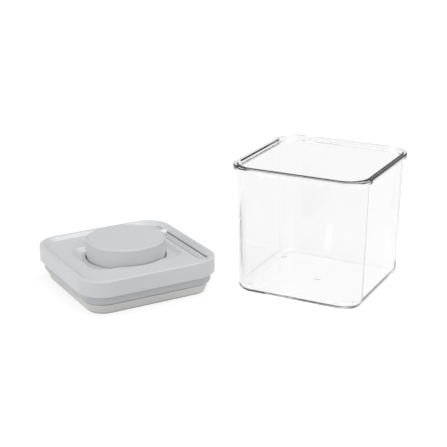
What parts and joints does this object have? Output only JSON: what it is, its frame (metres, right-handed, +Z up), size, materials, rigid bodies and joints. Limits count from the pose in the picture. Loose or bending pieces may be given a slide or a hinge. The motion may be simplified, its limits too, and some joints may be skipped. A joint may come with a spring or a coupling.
{
  "type": "vacuum storage jar",
  "caption": "Square clear food jar with a grey vacuum lid lying beside it, whose round twist knob drives a pump piston through a helical cam, with a sliding date pointer.",
  "frame": {"origin": "on the floor, at the centre of the jar's underside", "axes": "+Z up, +X and +Y along the jar's sides; the taken-off lid lies towards -X and -Y, turned 56.9 degrees about +Z"},
  "size_m": [0.3042, 0.2346, 0.12],
  "materials": {
    "jar_clear": "clear, polished",
    "lid_grey": "fine matt",
    "inner_white": "matt",
    "pointer_white": "satin",
    "strip_grey": "matt, with moulded numbers",
    "seal_silicone": "soft matt",
    "steel": "plain"
  },
  "bodies": {
    "base": {"jar": "jar_clear", "lid_cover": "lid_grey", "lid_base": "lid_grey", "lid_seal": "seal_silicone", "date_strip": "strip_grey", "knob_washer": "inner_white", "pump_barrel": "inner_white", "barrel_gasket": "seal_silicone", "barrel_screws": "steel", "inlet_valve": "seal_silicone", "inlet_filter": "inner_white"},
    "knob": {"knob": "lid_grey", "knob_cap": "lid_grey", "knob_screws": "steel", "cam_sleeve": "inner_white"},
    "piston": {"piston": "inner_white", "piston_seal": "seal_silicone", "cross_pin": "steel", "cam_rollers": "inner_white", "outlet_valve": "seal_silicone"},
    "date_slider": {"date_slider": "pointer_white"},
    "release_plug": {"release_plug": "seal_silicone"}
  },
  "joints": [
    {"name": "knob_twist", "type": "hinge", "parent": "base", "child": "knob", "pos_m": [-0.1563, -0.0867, 0.03], "axis": [0, 0, 1], "range_deg": [0, 90]},
    {"name": "piston_stroke", "type": "slide", "parent": "base", "child": "piston", "axis": [0, 0, 1], "range_m": [0, 0.01]},
    {"name": "date_slide", "type": "slide", "parent": "base", "child": "date_slider", "axis": [-0.8377, 0.5461, 0], "range_m": [-0.078, 0.002]},
    {"name": "release_lift", "type": "slide", "parent": "base", "child": "release_plug", "axis": [0, 0, 1], "range_m": [0, 0.004]}
  ],
  "couplings": [
    {"joint": "piston_stroke", "follows": "knob_twist", "m_per_rad": 0.0063662}
  ]
}
